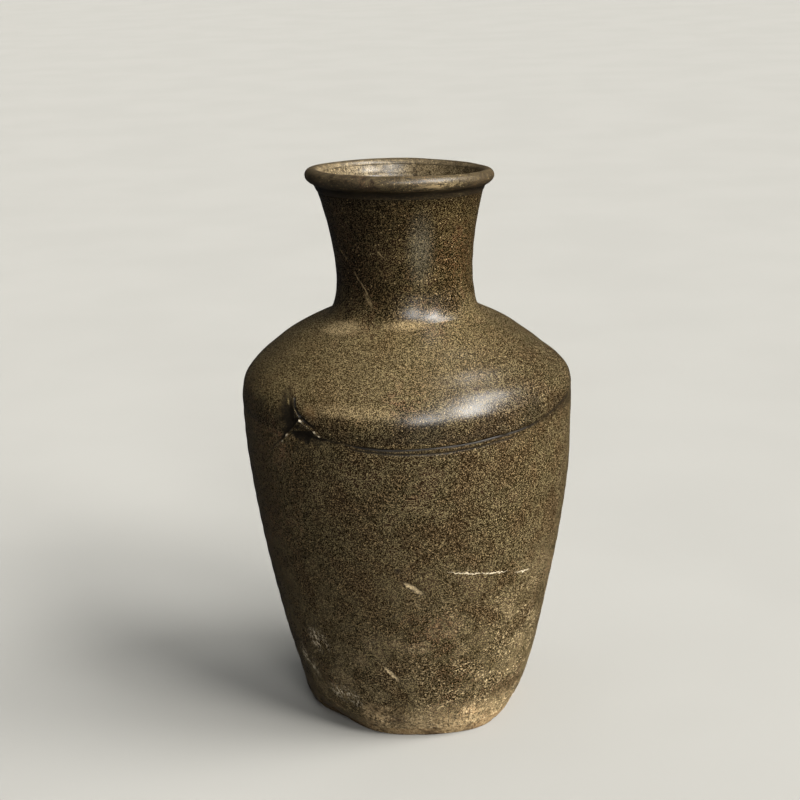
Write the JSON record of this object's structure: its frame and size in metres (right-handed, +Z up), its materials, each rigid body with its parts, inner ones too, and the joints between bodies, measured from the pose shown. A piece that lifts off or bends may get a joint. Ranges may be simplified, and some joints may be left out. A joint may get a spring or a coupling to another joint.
{
  "type": "stoneware sake bottle",
  "caption": "Round-shouldered stoneware storage bottle with a short flared neck, rolled lip, luted shoulder seam and flat foot.",
  "frame": {"origin": "centre of the underside of the foot", "axes": "+Z up along the bottle's axis; -Y is the side that shows the pinched fold, +X is to the right of it"},
  "size_m": [0.0948, 0.0948, 0.16],
  "materials": {
    "body_glaze": "satin olive-brown ash glaze with fine ochre speckle",
    "shoulder_glaze": "satin olive-brown ash glaze with dense ochre speckle",
    "neck_glaze": "satin dark brown ash glaze with fine speckle",
    "lip_glaze": "satin olive-brown glaze, worn thin on the crest",
    "bare_clay": "matt unglazed buff stoneware",
    "luting_clay": "matt unglazed stoneware, finger smeared"
  },
  "bodies": {
    "root": {"base_disc": "bare_clay", "body_wall": "body_glaze", "shoulder_dome": "shoulder_glaze", "neck_tube": "neck_glaze", "lip_roll": "lip_glaze", "base_lute": "luting_clay", "shoulder_lute": "luting_clay", "neck_lute": "luting_clay"}
  },
  "joints": []
}
